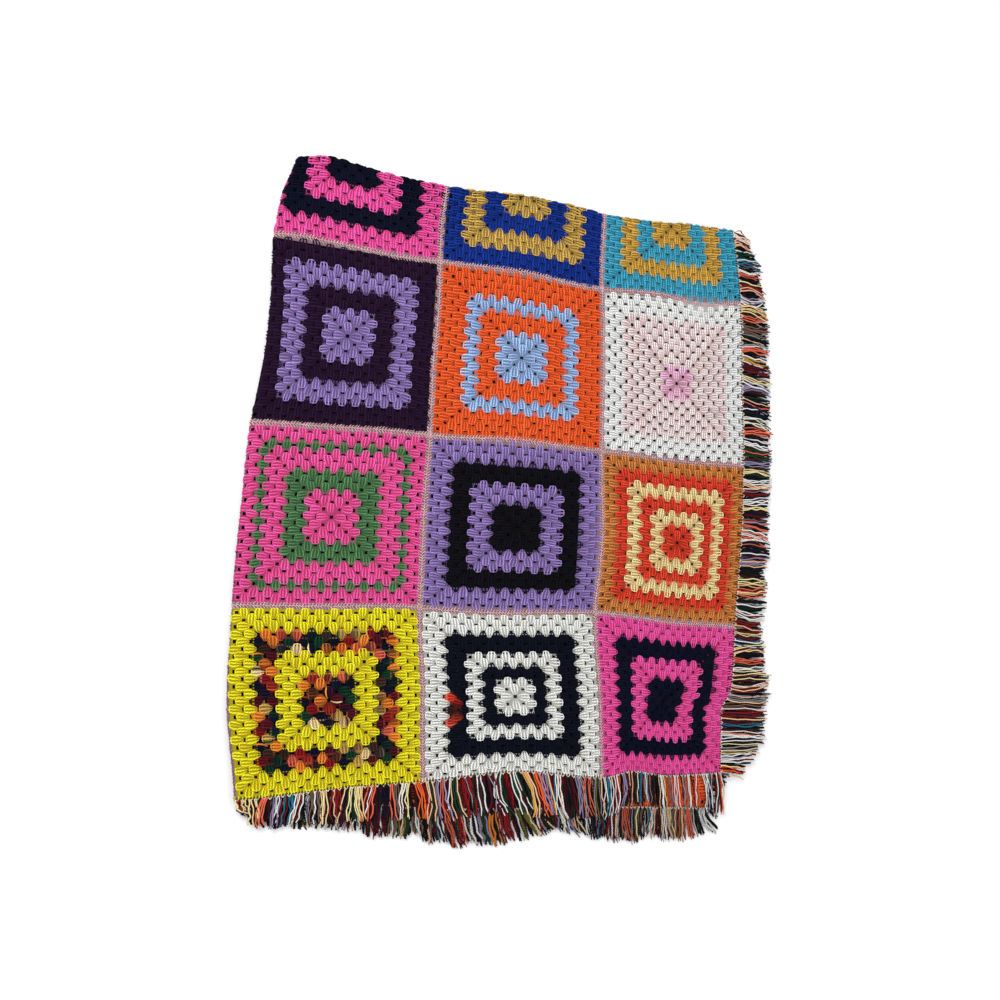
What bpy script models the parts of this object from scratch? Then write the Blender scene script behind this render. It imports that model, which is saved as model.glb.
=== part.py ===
"""Granny square blanket: 6 by 7 crocheted squares, fringed all round and folded in quarters.

Units are metres, +Z up. The blanket lies on z = 0, and the origin is on its underside, in the
middle of the folded cloth. x runs right, away from the left fold, and y runs up, to the top fold.
The folding itself is worked out from the corner where the two folds meet.

Every solid is drawn flat on the opened blanket, in u (across) and v (along), and then laid in
its folds. The first fold runs across at v = 0 and turns the far half under. The second runs
along near u = 0 and turns the left half under. That leaves four layers, from the top down:

    layer 1  u > 0, v < 0        layer 2  u > 0, v > 0
    layer 3  u < 0, v > 0        layer 4  u < 0, v < 0
"""

import math
import random
from bisect import bisect_right
from collections import namedtuple

import bpy
from mathutils import Vector
from mathutils.geometry import delaunay_2d_cdt

MM = 0.001

# The blanket, opened out.
SQUARE = 280 * MM           # one granny square with its half of the joins
ROUND = 10.6 * MM           # from one round's middle to the next
FIRST_ROUND = 2 * MM        # the middle ring's own share of that
ROUNDS = 12                 # rounds in a square
COLUMNS = 6
ROWS = 7
HALF_WIDTH = COLUMNS * SQUARE / 2
HALF_LENGTH = ROWS * SQUARE / 2
GAP = 5.5 * MM              # clear width of a corner space and of the middle ring

# The layers.
CLOTH = 3.5 * MM            # thickness of the crocheted cloth
LAYER_PITCH = 5 * MM        # from one layer's middle to the next
TOP_ROLL = LAYER_PITCH / 2              # radius of the first fold, at the cloth's middle
LEFT_ROLL = LAYER_PITCH                 # radius of the second fold, between its two layers
TOP_REACH = math.pi * TOP_ROLL / 2      # cloth on each side of the crease that is bent
LEFT_REACH = 9.5 * MM
FOLD_AXIS = CLOTH / 2 + 1.5 * LAYER_PITCH
LEFT_AXIS_X = 1.5 * LAYER_PITCH + CLOTH / 2
TOP_STEPS = 4               # flat facets round each fold
LEFT_STEPS = 6

# How the stack lies.
PUFF_REACH = 70 * MM        # the folds stand fuller over this width
LEFT_PUFF = 0.14
TOP_PUFF = 0.12
SWELL = 0.04                # slow rise and fall of the top
SWELL_ACROSS = 620 * MM
SWELL_ALONG = 550 * MM
FOLD_WAVE_REACH = 120 * MM
CORNER_X = -HALF_WIDTH / 2  # where the two folds meet, from the origin
CORNER_Y = HALF_LENGTH / 2
FRINGE_START_X = 838 * MM   # outside these lines the layers sink together
FRINGE_START_Y = -978 * MM
SINK = 0.5
SINK_REACH = 95 * MM

# The fringe.
STRIP_GAP = 0.5 * MM        # between the cloth's edge and the row of knots
STRIP = 4.5 * MM            # width of the row of knots
LOCKS_A_SQUARE = 10
LOCK_ROOT = 17 * MM
LOCK_TIP = 21 * MM
LOCK_LENGTH_SPREAD = 4 * MM
LOCK_LEAN = 2.5 * MM
FOLD_LEAN = 12 * MM         # locks beside a fold turn their tips away from it
FOLD_LEAN_REACH = 70 * MM
FOLD_CLEAR = 9 * MM         # no lock closer than this to a bend

EDGE_STEP = SQUARE / 10     # distance between points along an edge
FOLD_STEP = SQUARE / 4      # and along a line round a fold
EDGING = 20 * MM            # inner line that keeps the cloth's rim even
MERGE = 0.01 * MM

# Outline of the stack: the left fold's place for each y, and the waves of the two folds, which
# die out over the wave's reach.
Place = namedtuple("Place", "along offset")
LEFT_FOLD_LINE = (
    Place(-980 * MM, 2 * MM),
    Place(-840 * MM, -9 * MM),
    Place(-680 * MM, -15 * MM),
    Place(-540 * MM, -10 * MM),
    Place(-300 * MM, -1 * MM),
    Place(-150 * MM, 13 * MM),
    Place(0 * MM, 21 * MM),
)
LEFT_FOLD_WAVE = (
    Place(-980 * MM, 0 * MM),
    Place(-850 * MM, -7 * MM),
    Place(-700 * MM, -2 * MM),
    Place(-430 * MM, 0 * MM),
    Place(-330 * MM, 11 * MM),
    Place(-230 * MM, 9 * MM),
    Place(-140 * MM, 0 * MM),
    Place(-60 * MM, 4 * MM),
    Place(0 * MM, 20 * MM),
)
TOP_FOLD_WAVE = (
    Place(0 * MM, 0 * MM),
    Place(60 * MM, 10 * MM),
    Place(110 * MM, 6 * MM),
    Place(190 * MM, -4 * MM),
    Place(300 * MM, -7 * MM),
    Place(400 * MM, -2 * MM),
    Place(470 * MM, -5 * MM),
    Place(550 * MM, -12 * MM),
    Place(640 * MM, -12 * MM),
    Place(700 * MM, -7 * MM),
    Place(840 * MM, -5 * MM),
)

# Where the joins cross on the upper two layers, in millimetres: across from the left fold and
# along from the top fold. A row holds the crossings on one join, from the fold to the fringe.
JoinRow = namedtuple("JoinRow", "at_fold second third at_fringe")
TOP_LAYER = (
    JoinRow((-20, -128), (265, -135), (552, -145), (822, -139)),
    JoinRow((-7, -424), (279, -421), (577, -425), (850, -431)),
    JoinRow((-2, -700), (283, -696), (581, -695), (844, -714)),
    JoinRow((0, -983), (285, -963), (584, -964), (805, -961)),
)
SECOND_LAYER = (
    JoinRow((-60, 140), (268, 142), (540, 142), (775, 142)),
    JoinRow((-5, 425), (277, 428), (556, 428), (812, 430)),
    JoinRow((0, 705), (283, 716), (572, 718), (828, 722)),
    JoinRow((0, 966), (281, 1004), (566, 1011), (777, 1020)),
)
# The lower two layers lie evenly: pitch of their joins across and along, the first join, and
# how far out the fringed edge lies at each of the four joins.
EvenLayer = namedtuple("EvenLayer", "pitch_across pitch_along first_along edge")
THIRD_LAYER = EvenLayer(-281, 281, 140, (-800, -836, -832, -772))
FOURTH_LAYER = EvenLayer(-281, -277, -138, (-806, -838, -834, -776))

# The upper layer's squares aren't quite true. Its joins bow up or down from a straight line, and
# right or left: places on the flat blanket and how far off they lie, in millimetres.
BOWS_UP = (
    ((0, 0), (75, 4), (140, 1), (215, -4), (280, 0), (420, 5), (560, 0), (675, 4), (765, -7), (840, 0)),
    ((0, 0), (140, 2), (280, 0), (420, 6), (560, 0), (700, -4), (840, 0)),
    ((0, 0), (140, 3), (280, 0), (420, -7), (560, 0), (700, -4), (840, 0)),
    ((0, 0), (140, 3), (280, 0), (420, 11), (560, 0), (620, 9), (700, 0), (840, 0)),
)
BOWS_RIGHT = (
    ((-980, 0), (-840, 3), (-700, 0), (-560, -1), (-420, 0), (-280, 5), (-140, 0), (-70, -3), (0, 0)),
    ((-980, 0), (-840, 3), (-700, 0), (-560, 6), (-420, 0), (-280, 5), (-140, 0), (-70, -1), (0, 0)),
)
# The right edge has a kink near its lower end, which reaches into the last square.
EDGE_KINK = ((-980, -3), (-913, -8), (-879, -10), (-855, -13), (-820, 2), (-700, 0), (0, 0))
KINK_FROM = 610 * MM
KINK_REACH = 150 * MM
# The squares' middles: right and up from true, by row from the top fold.
MIDDLES = (
    ((-3, -4), (-4, 3), (1, -8)),
    ((5, 2), (6, 0), (7, -9)),
    ((-3, 2), (3, -5), (10, -4)),
    ((0, -2), (4, -4), (-2, -6)),
)

# Length of the fringe, by the place along each edge. It is short at the folds and at most corners,
# and longest near the right edge's near end.
RIGHT_FRINGE = (
    Place(-980 * MM, 38 * MM),
    Place(-950 * MM, 72 * MM),
    Place(-910 * MM, 90 * MM),
    Place(-850 * MM, 90 * MM),
    Place(-790 * MM, 72 * MM),
    Place(-700 * MM, 60 * MM),
    Place(-160 * MM, 58 * MM),
    Place(-60 * MM, 46 * MM),
    Place(0 * MM, 30 * MM),
    Place(60 * MM, 46 * MM),
    Place(160 * MM, 56 * MM),
    Place(880 * MM, 52 * MM),
    Place(930 * MM, 34 * MM),
    Place(980 * MM, 22 * MM),
)
LEFT_FRINGE = (
    Place(-980 * MM, 22 * MM),
    Place(-930 * MM, 34 * MM),
    Place(-870 * MM, 54 * MM),
    Place(-160 * MM, 58 * MM),
    Place(-60 * MM, 46 * MM),
    Place(0 * MM, 30 * MM),
    Place(60 * MM, 46 * MM),
    Place(160 * MM, 56 * MM),
    Place(880 * MM, 52 * MM),
    Place(930 * MM, 34 * MM),
    Place(980 * MM, 22 * MM),
)
NEAR_FRINGE = (
    Place(-840 * MM, 36 * MM),
    Place(-770 * MM, 52 * MM),
    Place(-60 * MM, 46 * MM),
    Place(-30 * MM, 40 * MM),
    Place(0 * MM, 14 * MM),
    Place(30 * MM, 40 * MM),
    Place(60 * MM, 46 * MM),
    Place(280 * MM, 53 * MM),
    Place(780 * MM, 56 * MM),
    Place(840 * MM, 66 * MM),
)
FAR_FRINGE = (
    Place(-840 * MM, 36 * MM),
    Place(-770 * MM, 52 * MM),
    Place(-60 * MM, 46 * MM),
    Place(0 * MM, 38 * MM),
    Place(60 * MM, 46 * MM),
    Place(280 * MM, 53 * MM),
    Place(780 * MM, 54 * MM),
    Place(840 * MM, 40 * MM),
)


# ---------------------------------------------------------------- from flat to folded

def catmull_rom(t):
    """Weights of the four values round the stretch that t runs along."""
    return (
        (-t + 2 * t * t - t ** 3) / 2,
        (2 - 5 * t * t + 3 * t ** 3) / 2,
        (t + 4 * t * t - 3 * t ** 3) / 2,
        (-t * t + t ** 3) / 2,
    )


def along_table(table, position):
    """Read a table of places smoothly, and level past its ends."""
    position = min(max(position, table[0].along), table[-1].along)
    i = min(bisect_right([row.along for row in table], position), len(table) - 1) - 1
    t = (position - table[i].along) / (table[i + 1].along - table[i].along)
    ends = (max(i - 1, 0), i, i + 1, min(i + 2, len(table) - 1))
    return sum(w * table[k].offset for w, k in zip(catmull_rom(t), ends))


def crossing_table():
    """Every join crossing and edge point: table[row][column] is its place (across, along)."""
    table = []
    for row in range(ROWS + 1):
        near = row < (ROWS + 1) // 2
        step = (ROWS + 1) // 2 - 1 - row if near else row - (ROWS + 1) // 2
        right = (TOP_LAYER if near else SECOND_LAYER)[step]
        even = FOURTH_LAYER if near else THIRD_LAYER
        along = even.first_along + even.pitch_along * step
        left = [(even.pitch_across * column, along) for column in range(COLUMNS // 2 - 1, 0, -1)]
        left.insert(0, (even.edge[step], along))
        table.append([Vector(place) * MM for place in left + list(right)])
    return table


CROSSINGS = crossing_table()


def crossing(row, column):
    """A crossing, or a point one square past the blanket's edge, straight on."""
    if row < 0:
        return 2 * crossing(0, column) - crossing(1, column)
    if row > ROWS:
        return 2 * crossing(ROWS, column) - crossing(ROWS - 1, column)
    if column < 0:
        return 2 * CROSSINGS[row][0] - CROSSINGS[row][1]
    if column > COLUMNS:
        return 2 * CROSSINGS[row][COLUMNS] - CROSSINGS[row][COLUMNS - 1]
    return CROSSINGS[row][column]


def bow(table, position):
    """Read a table of bows, given in millimetres."""
    return along_table([Place(at * MM, offset * MM) for at, offset in table], position)


def pull(u, v):
    """How far the upper layer is pulled out of true at a point of the flat blanket."""
    if u < 0 or v > SQUARE / 2:
        return Vector((0, 0))
    column = min(int(u / SQUARE), COLUMNS // 2 - 1)
    row = min(int((SQUARE / 2 - v) / SQUARE), ROWS // 2)
    a = 2 * (u / SQUARE - column) - 1
    b = 2 * ((SQUARE / 2 - v) / SQUARE - row) - 1
    fade_a, fade_b = 1 - a * a, 1 - b * b
    right, up = MIDDLES[row][column]
    right = right * MM * fade_a * fade_b
    up = up * MM * fade_a * fade_b
    if a > 0 and column < COLUMNS // 2 - 1:
        right += a * a * bow(BOWS_RIGHT[column], v)
    if a < 0 and column > 0:
        right += a * a * bow(BOWS_RIGHT[column - 1], v)
    if b > 0:
        up += b * b * bow(BOWS_UP[row], u)
    if b < 0 and row > 0:
        up += b * b * bow(BOWS_UP[row - 1], u)
    kink = min(1, max(0, (u - KINK_FROM) / KINK_REACH))
    return Vector((right + kink * kink * (3 - 2 * kink) * bow(EDGE_KINK, v), up))


def lay(u, v):
    """The place across and along the two creases of a point of the flat blanket."""
    inside_u = min(max(u, -HALF_WIDTH), HALF_WIDTH)
    inside_v = min(max(v, -HALF_LENGTH), HALF_LENGTH)
    columns = (inside_u + HALF_WIDTH) / SQUARE
    rows = (inside_v + HALF_LENGTH) / SQUARE
    column = min(int(columns), COLUMNS - 1)
    row = min(int(rows), ROWS - 1)
    across_weights = catmull_rom(columns - column)
    along_weights = catmull_rom(rows - row)
    place = Vector((u - inside_u, v - inside_v)) + pull(inside_u, inside_v)
    for i, row_weight in enumerate(along_weights):
        for j, column_weight in enumerate(across_weights):
            place += row_weight * column_weight * crossing(row + i - 1, column + j - 1)
    return place


def fold_top(along, lift):
    """Turn the far half under: gives y and the height above the middle of the two layers."""
    radius = TOP_ROLL + lift
    if along < -TOP_REACH:
        return along + TOP_REACH - TOP_ROLL, radius
    if along > TOP_REACH:
        return TOP_REACH - along - TOP_ROLL, -radius
    angle = math.pi / 2 * (1 + along / TOP_REACH)
    return radius * math.sin(angle) - TOP_ROLL, radius * math.cos(angle)


def fold_left(across, height):
    """Turn the left half under: gives x and z."""
    radius = LEFT_ROLL + height
    if across > LEFT_REACH:
        return across - LEFT_REACH + LEFT_AXIS_X, FOLD_AXIS + radius
    if across < -LEFT_REACH:
        return -across - LEFT_REACH + LEFT_AXIS_X, FOLD_AXIS - radius
    angle = math.pi / 2 * (1 - across / LEFT_REACH)
    return LEFT_AXIS_X - radius * math.sin(angle), FOLD_AXIS + radius * math.cos(angle)


def settle(x, y, z):
    """The folded stack as it lies: uneven edges, fuller folds, a slow swell and a thin fringe."""
    puff = LEFT_PUFF * max(0, 1 - x / PUFF_REACH) + TOP_PUFF * max(0, 1 + y / PUFF_REACH)
    swell = SWELL * math.sin(2 * math.pi * x / SWELL_ACROSS) * math.sin(2 * math.pi * y / SWELL_ALONG)
    outside = max(0, x - FRINGE_START_X, FRINGE_START_Y - y)
    sink = 1 - SINK * min(1, outside / SINK_REACH)
    left_wave = along_table(LEFT_FOLD_WAVE, y) * max(0, 1 - x / FOLD_WAVE_REACH)
    top_wave = along_table(TOP_FOLD_WAVE, x) * max(0, 1 + y / FOLD_WAVE_REACH)
    line = along_table(LEFT_FOLD_LINE, y)
    return Vector((
        CORNER_X + x + line + left_wave,
        CORNER_Y + y + top_wave,
        z * (1 + puff + swell) * sink,
    ))


def folded(across, along, lift):
    """A point of the laid-out cloth, lifted off its middle towards the right side, in its folds."""
    y, height = fold_top(along, lift)
    x, z = fold_left(across, height)
    return settle(x, y, z)


# ---------------------------------------------------------------- solids

def inside(polygon, point):
    """Whether a point lies in a closed outline."""
    result = False
    for (ax, ay), (bx, by) in zip(polygon, polygon[1:] + polygon[:1]):
        if (ay > point[1]) != (by > point[1]):
            if point[0] < ax + (point[1] - ay) / (by - ay) * (bx - ax):
                result = not result
    return result


def fold_lines(low, high):
    """The lines round both bends, over the range from corner low to corner high, as open chains."""
    chains = []
    bends = ((LEFT_REACH, LEFT_STEPS, 0, 1), (TOP_REACH, TOP_STEPS, 1, 0))
    for reach, steps, axis, run_axis in bends:
        places = [reach * (2 * step / steps - 1) for step in range(steps + 1)]
        places += [-PUFF_REACH, PUFF_REACH]
        for place in places:
            if not low[axis] < place < high[axis]:
                continue
            count = max(1, math.ceil((high[run_axis] - low[run_axis]) / FOLD_STEP))
            chain = []
            for k in range(count + 1):
                point = [0, 0]
                point[axis] = place
                point[run_axis] = low[run_axis] + (high[run_axis] - low[run_axis]) * k / count
                chain.append(tuple(point))
            chains.append(chain)
    return chains


def triangulate(outline, holes, loose):
    """Triangles of a laid-out outline less its holes, with edges along every fold line."""
    points = []
    edges = []
    for loop in [outline] + holes:
        first = len(points)
        points += loop
        edges += [(first + k, first + (k + 1) % len(loop)) for k in range(len(loop))]
    margin = 2 * MM
    low = [min(p[axis] for p in outline) - margin for axis in (0, 1)]
    high = [max(p[axis] for p in outline) + margin for axis in (0, 1)]
    for chain in fold_lines(low, high):
        first = len(points)
        points += chain
        edges += [(first + k, first + k + 1) for k in range(len(chain) - 1)]
    points += loose
    verts, _, faces, *_ = delaunay_2d_cdt([Vector(p) for p in points], edges, [], 0, MERGE)
    kept = []
    for face in faces:
        middle = sum((verts[k] for k in face), Vector((0, 0))) / len(face)
        if inside(outline, middle) and not any(inside(hole, middle) for hole in holes):
            kept.append(tuple(face))
    return verts, kept


def cloth_solid(name, outline, holes, loose, material):
    """One closed solid of the cloth's thickness, from flat outlines in u and v, laid in its folds."""
    outline = [tuple(lay(*p)) for p in outline]
    holes = [[tuple(lay(*p)) for p in hole] for hole in holes]
    loose = [tuple(lay(*p)) for p in loose]
    flat, faces = triangulate(outline, holes, loose)
    used = sorted({k for face in faces for k in face})
    upper = {k: i for i, k in enumerate(used)}
    lower = {k: i + len(used) for i, k in enumerate(used)}
    verts = [folded(*flat[k], CLOTH / 2) for k in used] + [folded(*flat[k], -CLOTH / 2) for k in used]
    solid_faces = []
    open_edges = set()
    for face in faces:
        solid_faces.append([upper[k] for k in face])
        solid_faces.append([lower[k] for k in reversed(face)])
        for edge in zip(face, face[1:] + face[:1]):
            if edge[::-1] in open_edges:
                open_edges.remove(edge[::-1])
            else:
                open_edges.add(edge)
    for a, b in sorted(open_edges):
        solid_faces.append([upper[b], upper[a], lower[a], lower[b]])
    mesh = bpy.data.meshes.new(name)
    mesh.from_pydata(verts, [], solid_faces)
    mesh.materials.append(material)
    mesh.validate()
    solid = bpy.data.objects.new(name, mesh)
    bpy.context.scene.collection.objects.link(solid)
    return solid


def rectangle(half_u, half_v):
    """An outline with points every EDGE_STEP, anticlockwise."""
    count_u = round(2 * half_u / EDGE_STEP)
    count_v = round(2 * half_v / EDGE_STEP)
    across = [half_u * (2 * k / count_u - 1) for k in range(count_u)]
    along = [half_v * (2 * k / count_v - 1) for k in range(count_v)]
    lower = [(u, -half_v) for u in across]
    right = [(half_u, v) for v in along]
    return lower + right + [(-u, -v) for u, v in lower] + [(-u, -v) for u, v in right]


def square_centres():
    """The middle of every granny square on the flat blanket."""
    for row in range(ROWS):
        for column in range(COLUMNS):
            yield (column + 0.5) * SQUARE - HALF_WIDTH, (row + 0.5) * SQUARE - HALF_LENGTH


def square_gaps():
    """The largest gaps of every square: the middle ring and the last round's corner spaces."""
    corner = FIRST_ROUND + ROUNDS * ROUND
    spaces = [(0, 0)] + [(a * corner, b * corner) for a in (-1, 1) for b in (-1, 1)]
    half = GAP / 2
    gaps = []
    for u, v in square_centres():
        for du, dv in spaces:
            gaps.append([(u + du + a * half, v + dv + b * half)
                         for a, b in ((-1, -1), (1, -1), (1, 1), (-1, 1))])
    return gaps


def cloth(material):
    """The crocheted cloth: one sheet with its gaps, back and forth through its four layers."""
    inner = rectangle(HALF_WIDTH - EDGING, HALF_LENGTH - EDGING)
    quarter = SQUARE / 4
    middles = [(u + a * quarter, v + b * quarter)
               for u, v in square_centres() for a in (-1, 1) for b in (-1, 1)]
    crossings = [(column * SQUARE - HALF_WIDTH, row * SQUARE - HALF_LENGTH)
                 for row in range(1, ROWS) for column in range(1, COLUMNS)]
    return cloth_solid("cloth", rectangle(HALF_WIDTH, HALF_LENGTH), square_gaps(),
                       inner + middles + crossings, material)


def lock_middles(half_run, crease):
    """Places of the locks along an edge, leaving out the ones at the crease."""
    pitch = SQUARE / LOCKS_A_SQUARE
    count = round(2 * half_run / pitch)
    reach, place = crease
    clear = reach + FOLD_CLEAR + LOCK_TIP / 2
    for k in range(count):
        middle = (k + 0.5) * pitch - half_run
        if abs(middle - place) > clear:
            yield middle


def fringe_outline(half_run, crease, lengths, dice):
    """A strip of knots and its locks: run along the edge, and out from it."""
    inner = STRIP_GAP
    root = STRIP_GAP + STRIP
    steps = round(2 * half_run / EDGE_STEP)
    outline = [(half_run * (2 * k / steps - 1), inner) for k in range(steps + 1)]
    outer = [(-half_run, root)]
    for middle in lock_middles(half_run, crease):
        tip = along_table(lengths, middle) + dice.uniform(-1, 1) * LOCK_LENGTH_SPREAD
        beside_fold = max(0, 1 - abs(middle) / FOLD_LEAN_REACH)
        lean = dice.uniform(-1, 1) * LOCK_LEAN
        lean += math.copysign(FOLD_LEAN, middle) * beside_fold
        half_root = LOCK_ROOT / 2
        half_tip = LOCK_TIP / 2
        belly = (half_root + half_tip) / 2
        outer += [
            (middle - half_root, root),
            (middle - belly + lean / 3, (root + tip) / 2),
            (middle - half_tip + lean, tip),
            (middle + half_tip + lean, tip),
            (middle + belly + lean / 3, (root + tip) / 2),
            (middle + half_root, root),
        ]
    outer.append((half_run, root))
    return outline + outer[::-1]


# One row for each fringed edge: the way out of the cloth, where the crease crosses it, and the
# fringe's lengths.
FringedEdge = namedtuple("FringedEdge", "name out_u out_v crease lengths")
FRINGED_EDGES = (
    FringedEdge("fringe_right", 1, 0, (TOP_REACH, 0), RIGHT_FRINGE),
    FringedEdge("fringe_left", -1, 0, (TOP_REACH, 0), LEFT_FRINGE),
    FringedEdge("fringe_near", 0, -1, (LEFT_REACH, 0), NEAR_FRINGE),
    FringedEdge("fringe_far", 0, 1, (LEFT_REACH, 0), FAR_FRINGE),
)


def fringe(edge, seed, material):
    """The knotted fringe along one edge of the blanket."""
    dice = random.Random(seed)
    if edge.out_u:
        outline = [(edge.out_u * (HALF_WIDTH + out), run)
                   for run, out in fringe_outline(HALF_LENGTH, edge.crease, edge.lengths, dice)]
    else:
        outline = [(run, edge.out_v * (HALF_LENGTH + out))
                   for run, out in fringe_outline(HALF_WIDTH, edge.crease, edge.lengths, dice)]
    return cloth_solid(edge.name, outline, [], [], material)


def yarn(name, colour, roughness):
    """A plain matt yarn."""
    material = bpy.data.materials.new(name)
    material.use_nodes = True
    shader = material.node_tree.nodes["Principled BSDF"]
    shader.inputs["Base Color"].default_value = (*colour, 1)
    shader.inputs["Roughness"].default_value = roughness
    shader.inputs["Metallic"].default_value = 0
    return material


def build():
    """Clear the scene and make the cloth and its four fringes."""
    for old in list(bpy.data.objects):
        bpy.data.objects.remove(old, do_unlink=True)
    cloth(yarn("cloth_yarn", (0.55, 0.18, 0.42), 0.9))
    for seed, edge in enumerate(FRINGED_EDGES):
        fringe(edge, seed, yarn(edge.name + "_yarn", (0.35, 0.22, 0.16), 0.9))


build()
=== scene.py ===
"""Looks of the granny square blanket: crocheted clusters, joins, edging and yarn fringe.

Everything is drawn flat on the opened blanket, in u (across), v (along) and w (out of the right
side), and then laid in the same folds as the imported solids.
"""

import math

import bmesh
import bpy
import numpy as np
from mathutils import Matrix, Vector
from mathutils.geometry import delaunay_2d_cdt

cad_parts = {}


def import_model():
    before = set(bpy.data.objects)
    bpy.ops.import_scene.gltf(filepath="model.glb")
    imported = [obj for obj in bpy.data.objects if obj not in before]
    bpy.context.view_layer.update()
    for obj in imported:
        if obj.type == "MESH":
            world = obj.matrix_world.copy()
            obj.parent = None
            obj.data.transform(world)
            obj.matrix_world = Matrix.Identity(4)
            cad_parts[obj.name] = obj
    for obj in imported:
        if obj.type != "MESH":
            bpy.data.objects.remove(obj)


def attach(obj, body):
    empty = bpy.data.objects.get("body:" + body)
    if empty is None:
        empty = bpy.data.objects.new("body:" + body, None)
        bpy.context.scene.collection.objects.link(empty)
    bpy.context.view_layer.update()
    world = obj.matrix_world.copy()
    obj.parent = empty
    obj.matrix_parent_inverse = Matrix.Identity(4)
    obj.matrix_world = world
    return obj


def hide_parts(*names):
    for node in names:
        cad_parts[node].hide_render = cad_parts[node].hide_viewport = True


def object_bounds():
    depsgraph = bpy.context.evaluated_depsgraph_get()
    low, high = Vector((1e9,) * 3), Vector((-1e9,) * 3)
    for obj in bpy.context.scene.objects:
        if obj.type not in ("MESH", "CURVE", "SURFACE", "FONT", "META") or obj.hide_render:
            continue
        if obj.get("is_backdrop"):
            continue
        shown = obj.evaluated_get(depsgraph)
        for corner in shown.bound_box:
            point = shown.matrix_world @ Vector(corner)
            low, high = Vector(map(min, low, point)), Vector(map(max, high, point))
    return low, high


MM = 0.001


def metres(*rows):
    """A table typed in millimetres, in metres."""
    return np.array(rows) * MM


# ---- sizes shared with the solids

SQUARE = 280 * MM
ROUND = 10.6 * MM  # from one round's middle to the next
FIRST_ROUND = 2 * MM
ROUNDS = 12
COLUMNS = 6
ROWS = 7
HALF_WIDTH = COLUMNS * SQUARE / 2
HALF_LENGTH = ROWS * SQUARE / 2

CLOTH = 3.5 * MM
LAYER_PITCH = 5 * MM
TOP_ROLL = LAYER_PITCH / 2
LEFT_ROLL = LAYER_PITCH
TOP_REACH = math.pi * TOP_ROLL / 2
LEFT_REACH = 9.5 * MM
FOLD_AXIS = CLOTH / 2 + 1.5 * LAYER_PITCH  # height of the left fold's axis, and its place in x

PUFF_REACH = 70 * MM  # how far in from the folds the stack is fuller
LEFT_PUFF = 0.14
TOP_PUFF = 0.12
SWELL = 0.04
SWELL_ACROSS = 620 * MM
SWELL_ALONG = 550 * MM
FOLD_WAVE_REACH = 120 * MM
CORNER_X = -HALF_WIDTH / 2
CORNER_Y = HALF_LENGTH / 2
FRINGE_START_X = 838 * MM
FRINGE_START_Y = -978 * MM
SINK = 0.5  # the fringe lies this much lower, over this reach past the cloth
SINK_REACH = 95 * MM

# Left fold: (y, x). Top fold: (x, y). From the corner where the folds meet.
LEFT_FOLD_LINE = metres((-980, 2), (-840, -9), (-680, -15), (-540, -10), (-300, -1), (-150, 13), (0, 21))
LEFT_FOLD_WAVE = metres(
    (-980, 0), (-850, -7), (-700, -2), (-430, 0), (-330, 11), (-230, 9), (-140, 0), (-60, 4), (0, 20),
)
TOP_FOLD_WAVE = metres(
    (0, 0), (60, 10), (110, 6), (190, -4), (300, -7), (400, -2), (470, -5), (550, -12), (640, -12),
    (700, -7), (840, -5),
)

# Join crossings of the upper two layers, in millimetres from the folds: a row for each join.
TOP_LAYER = (
    ((-20, -128), (265, -135), (552, -145), (822, -139)),
    ((-7, -424), (279, -421), (577, -425), (850, -431)),
    ((-2, -700), (283, -696), (581, -695), (844, -714)),
    ((0, -983), (285, -963), (584, -964), (805, -961)),
)
SECOND_LAYER = (
    ((-60, 140), (268, 142), (540, 142), (775, 142)),
    ((-5, 425), (277, 428), (556, 428), (812, 430)),
    ((0, 705), (283, 716), (572, 718), (828, 722)),
    ((0, 966), (281, 1004), (566, 1011), (777, 1020)),
)
EVEN_PITCH_ACROSS = -281  # of the lower two layers' joins
# Pitch along, first join, and the fringed edge's place at each join, in millimetres.
THIRD_LAYER = (281, 140, (-800, -836, -832, -772))
FOURTH_LAYER = (-277, -138, (-806, -838, -834, -776))

# How the upper layer's squares are pulled out of true: bows of the joins up and to the right, by
# place on the flat blanket, with none where joins cross, and the squares' middles, by row from the
# top fold.
BOWS_UP = [metres((0, 0), *sorted(rows + ((280, 0), (560, 0))), (840, 0)) for rows in (
    ((75, 4), (140, 1), (215, -4), (420, 5), (675, 4), (765, -7)),
    ((140, 2), (420, 6), (700, -4)),
    ((140, 3), (420, -7), (700, -4)),
    ((140, 3), (420, 11), (620, 9), (700, 0)),
)]
BOWS_RIGHT = [metres((-980, 0), *sorted(rows + ((-700, 0), (-420, 0), (-140, 0))), (0, 0)) for rows in (
    ((-840, 3), (-560, -1), (-280, 5), (-70, -3)),
    ((-840, 3), (-560, 6), (-280, 5), (-70, -1)),
)]
EDGE_KINK = metres((-980, -3), (-913, -8), (-879, -10), (-855, -13), (-820, 2), (-700, 0), (0, 0))
KINK_FROM = 610 * MM
KINK_REACH = 150 * MM
MIDDLES = metres(
    [(-3, -4), (-4, 3), (1, -8)],
    [(5, 2), (6, 0), (7, -9)],
    [(-3, 2), (3, -5), (10, -4)],
    [(0, -2), (4, -4), (-2, -6)],
)

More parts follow.
